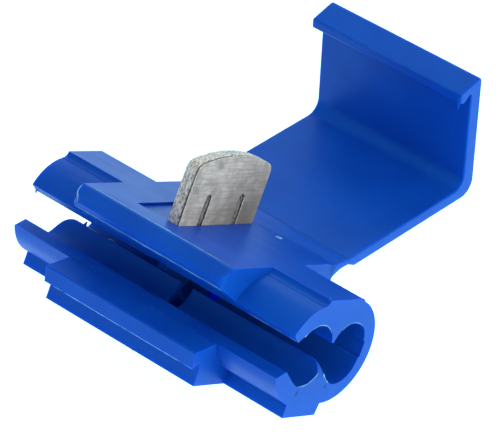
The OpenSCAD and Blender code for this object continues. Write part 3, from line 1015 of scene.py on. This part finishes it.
@dataclass
class SlottedBlade:
    """The plated blade: flat rolled faces, and cut edges torn where the sheet broke.

    Each edge is inset by a small round at both faces, by the grain of the break, and by
    two wandering cracks exp(-((t - place) / width)^2) at the shares t of the thickness. The
    first crack runs all along near the front face, the second shows only where its noise is
    high. Painted shade darkens both cracks and, as specks, the places where the grain is
    deepest. Lengths are in millimetres.
    """

    attitude: Attitude
    face: Material
    edge: Material
    step: float = 0.06
    grain: float = 0.022
    crack: float = 0.07
    rim: tuple[Pair, ...] = (
        (0, 0.05), (0.02, 0.02), (0.05, 0), (0.93, 0), (0.975, 0.012), (1, 0.04))
    coarse: Ripple = Ripple(31, 3.2, 7, 0.6)
    fine: Ripple = Ripple(32, 8, 13, 0.4)
    first_at: float = 0.87
    first_width: float = 0.055
    first_wander: tuple[Ripple, Ripple] = (Ripple(33, 0.8, share=0.05), Ripple(34, 3.5, share=0.03))
    first_least: float = 0.75
    first_swell: Ripple = Ripple(35, 1.6, share=0.6)
    second_at: float = 0.40
    second_width: float = 0.03
    second_wander: Ripple = Ripple(36, 0.5, share=0.16)
    second_swell: Ripple = Ripple(37, 1.1, share=3)
    second_hidden: float = 1.5
    second_dark: float = 0.7
    speck_from: float = 0.66
    speck_slope: float = 5.0
    speck_band: Pair = (0.06, 0.95)
    speck_dark: float = 0.6
    grain_band: Pair = (0.03, 0.96)
    back_rows: tuple[float, ...] = (0, 0.02, 0.05)
    middle_rows: tuple[float, float, int] = (0.09, 0.72, 13)
    crack_rows: tuple[float, float, int] = (0.76, 0.95, 13)
    front_rows: tuple[float, ...] = (0.965, 0.98, 1)

    def outline(self) -> tuple[np.ndarray, float, float]:
        """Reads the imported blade's outline and its two face positions, upright, in millimetres."""
        work = packed_copy(Body.BLADE.value)
        nearly_one = 0.99
        flat = {face for face in work.faces if face.normal.x > nearly_one}
        after = {}
        for face in flat:
            for loop in face.loops:
                others = [other for other in loop.edge.link_faces if other not in flat]
                if others:
                    after[loop.vert.index] = loop.link_loop_next.vert.index
        work.verts.ensure_lookup_table()
        start = min(after)
        order = [start]
        while after[order[-1]] != start:
            order.append(after[order[-1]])
        points = self.attitude.lift(np.array([work.verts[i].co[:] for i in order]))
        x = [vert.co.x / MM for vert in work.verts]
        work.free()
        return points[:, 1:], min(x), max(x)

    def tears_and_shade(self, t: np.ndarray, s: np.ndarray) -> tuple[np.ndarray, np.ndarray]:
        """Works out the edge's inset and its painted shade.

        Args:
            t: Share of the thickness, from the back face to the front face.
            s: Distance along the outline in millimetres, of the same shape.

        Returns:
            The inset in millimetres and the painted shade between 0 and 1.
        """
        round_off = np.interp(t, *zip(*self.rim))
        rough = self.coarse.scaled(s, t) + self.fine.scaled(s, t)
        place = self.first_at + self.first_wander[0].swing(s, t) + self.first_wander[1].swing(s, t)
        swell = self.first_least + self.first_swell.scaled(s, t)
        first = np.exp(-((t - place) / self.first_width) ** 2) * swell
        place = self.second_at + self.second_wander.swing(s, t)
        swell = np.clip(self.second_swell.scaled(s, t) - self.second_hidden, 0, 1)
        second = np.exp(-((t - place) / self.second_width) ** 2) * swell
        speck = np.clip(self.speck_slope * (rough - self.speck_from), 0, 1)
        speck = speck * self.within(t, self.speck_band)
        # Painted shade: dark in the cracks and, as specks, where the grain is deepest
        groove_shade = np.clip(first + self.second_dark * second + self.speck_dark * speck, 0, 1)
        torn = self.grain * rough * self.within(t, self.grain_band)
        return round_off + torn + self.crack * np.clip(first + second, 0, 1), groove_shade

    @staticmethod
    def within(t: np.ndarray, band: Pair) -> np.ndarray:
        """Returns where t lies strictly between a band's two ends."""
        return (t > band[0]) & (t < band[1])

    def build(self) -> Object:
        """Makes the blade."""
        loop, back, front = self.outline()
        loop = LoopPrism.resampled(loop, self.step)
        steps = np.linalg.norm(np.roll(loop, -1, axis=0) - loop, axis=1)
        along = np.concatenate([[0], np.cumsum(steps)[:-1]])
        shares = np.concatenate([self.back_rows, np.linspace(*self.middle_rows),
                                 np.linspace(*self.crack_rows), self.front_rows])
        t, s = np.meshgrid(shares, along, indexing="ij")
        inset, groove_shade = self.tears_and_shade(t, s)
        prism = LoopPrism(loop, back + (front - back) * shares, inset)
        points = self.attitude.place(prism.points())
        piece = new_piece("slotted_blade", points, prism.faces(), self.face)
        mesh = piece.data
        mesh.materials.append(self.edge)
        sides = len(loop) * (len(shares) - 1)
        flat = len(mesh.polygons) - sides
        mesh.polygons.foreach_set("material_index", [1] * sides + [0] * flat)
        # The painted shade, stored on the points for the edge's material
        torn = mesh.attributes.new("groove_shade", "FLOAT", "POINT")
        torn.data.foreach_set("value", groove_shade.ravel().astype(np.float32))
        mesh.shade_smooth()
        mesh.polygons.foreach_set("use_smooth", [True] * sides + [False] * flat)
        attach(piece, Body.BLADE.value)
        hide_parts("blade")
        return piece


@dataclass(frozen=True)
class Lamp:
    """A soft square light, its place and size in metres and its power in watts."""

    name: str
    place: Triple
    power: float
    size: float
    colour: Triple

    def build(self, target: Vector) -> Object:
        """Hangs the light and aims it at the target."""
        data = bpy.data.lights.new(self.name, "AREA")
        data.energy = self.power
        data.color = self.colour
        data.shape = "SQUARE"
        data.size = self.size
        lamp = linked(self.name, data)
        lamp.location = self.place
        lamp.rotation_mode = "QUATERNION"
        lamp.rotation_quaternion = (target - Vector(self.place)).to_track_quat("-Z", "Y")
        return lamp


@dataclass
class Studio:
    """Glowing table, soft lights and the photograph's camera.

    The camera was fitted to the photograph: eye is its place in metres, and right, down and
    forward are its axes. The lights aim at one place.
    """

    floor_finish: Material
    focal_px: float = 3838.4
    frame_px: float = 500.0
    sensor_mm: float = 36.0
    eye: Triple = (0.13826, -0.12681, 0.18860)
    right: Triple = (0.73943, 0.66510, -0.10427)
    down: Triple = (0.41640, -0.57353, -0.70547)
    forward: Triple = (-0.52902, 0.47822, -0.70103)
    lamps: tuple[Lamp, ...] = (
        Lamp("side", (0.40, 0.04, 0.14), 1.2, 0.25, (0.95, 1.0, 0.60)),
        Lamp("back", (-0.10, 0.40, 0.30), 0.5, 0.30, (0.80, 1.0, 1.0)),
    )
    aim: Triple = (0, 0, 0.006)
    clip_m: Pair = (0.005, 20)
    sky: float = 0.85
    sky_tint: Quad = (0.84, 1.0, 1.03, 1.0)

    def build(self) -> Object:
        """Makes the stage and returns the camera."""
        floor = self.make_floor()
        for lamp in self.lamps:
            lamp.build(Vector(self.aim))
        world = bpy.data.worlds.new("studio")
        world.use_nodes = True
        background = world.node_tree.nodes["Background"]
        background.inputs["Color"].default_value = self.sky_tint
        background.inputs["Strength"].default_value = self.sky
        bpy.context.scene.world = world
        bpy.context.scene.view_settings.view_transform = "Standard"
        return self.make_camera()

    def make_floor(self, reach: float = 3.0) -> Object:
        """Makes the flat table top."""
        mesh = bpy.data.meshes.new("table_top")
        square = [(-reach, -reach, 0), (reach, -reach, 0), (reach, reach, 0), (-reach, reach, 0)]
        mesh.from_pydata(square, [], [(0, 1, 2, 3)])
        mesh.materials.append(self.floor_finish)
        return linked("table_top", mesh)

    def make_camera(self) -> Object:
        """Makes the camera from the attitude that was fitted to the photograph."""
        data = bpy.data.cameras.new("camera")
        data.lens = self.focal_px / self.frame_px * self.sensor_mm
        data.sensor_width = self.sensor_mm
        data.clip_start, data.clip_end = self.clip_m
        camera = linked("camera", data)
        axes = (self.right, [-v for v in self.down], [-v for v in self.forward])
        turn = Matrix(axes).transposed()
        camera.matrix_world = Matrix.Translation(self.eye) @ turn.to_4x4()
        bpy.context.scene.camera = camera
        return camera


def main() -> None:
    logging.basicConfig(level=logging.INFO, format="%(name)s: %(message)s")
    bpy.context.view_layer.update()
    attitude = Attitude()
    # Small dents darkened with painted shade: two nicks on the end face, two rings on the cover
    marks = (
        Mark((12.0, -0.29, 1.77), 0, 0.32, 0.02, 0.85),
        Mark((12.0, 2.79, 2.15), 0, 0.26, 0.02, 0.8),
        Mark((-4.58, -5.6, 4.45), 0.5, 0.07, 0.012, 0.25, on_cover=True),
        Mark((-4.58, -5.6, 4.45), 0.22, 0.12, 0.008, 0.15, on_cover=True),
    )
    nylon = BlueNylon(marks=marks).build(attitude)
    # Paler nylon of the seams, rims and gate stub: painted highlight on thin edges
    pale = BlueNylon("pale_nylon_painted_highlight", (0.10, 0.27, 0.72), (0.18, 0.38, 0.85)).build(attitude)
    moulding = Moulding(attitude, nylon)
    pieces = moulding.build_rigid() + [moulding.build_web()]
    pieces += Flash(attitude, pale, nylon).build()
    pieces.append(GateMark(attitude, pale).build())
    face, edge = PlatedFace().build(attitude), ShearedEdge().build(attitude)
    pieces.append(SlottedBlade(attitude, face, edge).build())
    for piece in pieces:
        log.info("%s: %d faces", piece.name, len(piece.data.polygons))
    Studio(PaleFloor().build()).build()


if __name__ == "__main__":
    main()
